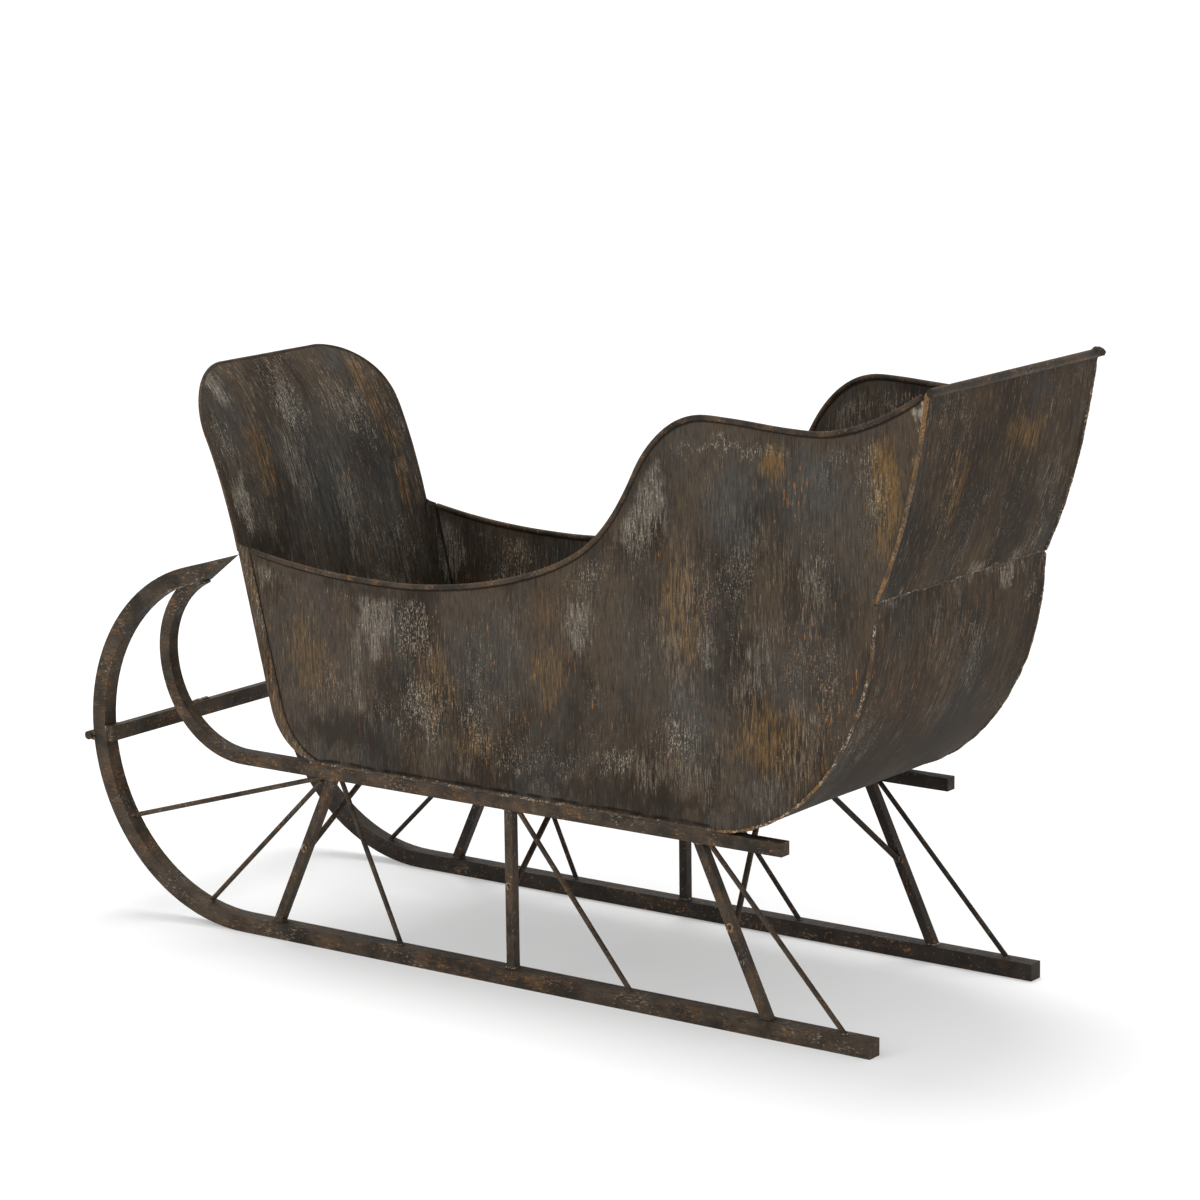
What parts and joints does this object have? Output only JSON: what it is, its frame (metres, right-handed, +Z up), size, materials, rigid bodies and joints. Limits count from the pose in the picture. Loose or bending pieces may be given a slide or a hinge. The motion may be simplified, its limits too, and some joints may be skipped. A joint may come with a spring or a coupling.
{
  "type": "horse drawn sleigh",
  "caption": "Light welded steel sleigh: square-bar runners with tall front curls under a curved sheet body with a rolled-over dash, a seat and a flared back.",
  "frame": {"origin": "on the ground, under the middle of the whole sleigh's box", "axes": "+Z up, -Y forward towards the horse, +X to the driver's left"},
  "size_m": [0.604, 1.9373, 1.178],
  "materials": {
    "sheet_steel": "bare sheet steel, dull, streaked with rust and scuffs",
    "bar_steel": "bare square and flat bar, dark brown mill scale and rust",
    "round_steel": "bare round rod, brown rust"
  },
  "bodies": {
    "root": {"runner_left": "bar_steel", "runner_right": "bar_steel", "rail_left": "bar_steel", "rail_right": "bar_steel", "front_post_left": "bar_steel", "front_post_right": "bar_steel", "middle_post_left": "bar_steel", "middle_post_right": "bar_steel", "rear_post_left": "bar_steel", "rear_post_right": "bar_steel", "nose_stay_left": "round_steel", "nose_stay_right": "round_steel", "curl_stay_left": "round_steel", "curl_stay_right": "round_steel", "front_stay_left": "round_steel", "front_stay_right": "round_steel", "middle_stay_left": "round_steel", "middle_stay_right": "round_steel", "rear_stay_left": "round_steel", "rear_stay_right": "round_steel", "front_brace_left": "round_steel", "front_brace_right": "round_steel", "middle_brace_left": "round_steel", "middle_brace_right": "round_steel", "rear_brace_left": "round_steel", "rear_brace_right": "round_steel", "front_crossbeam": "bar_steel", "middle_crossbeam": "bar_steel", "rear_crossbeam": "bar_steel", "crossbar": "bar_steel", "draft_rod": "round_steel", "floor_panel": "sheet_steel", "dash_panel": "sheet_steel", "dash_flange_left": "sheet_steel", "dash_flange_right": "sheet_steel", "side_panel_left": "sheet_steel", "side_panel_right": "sheet_steel", "side_bead_left": "round_steel", "side_bead_right": "round_steel", "back_lower_panel": "sheet_steel", "back_upper_panel": "sheet_steel", "back_top_roll": "round_steel", "seat_pan": "sheet_steel", "seat_riser": "sheet_steel"}
  },
  "joints": []
}
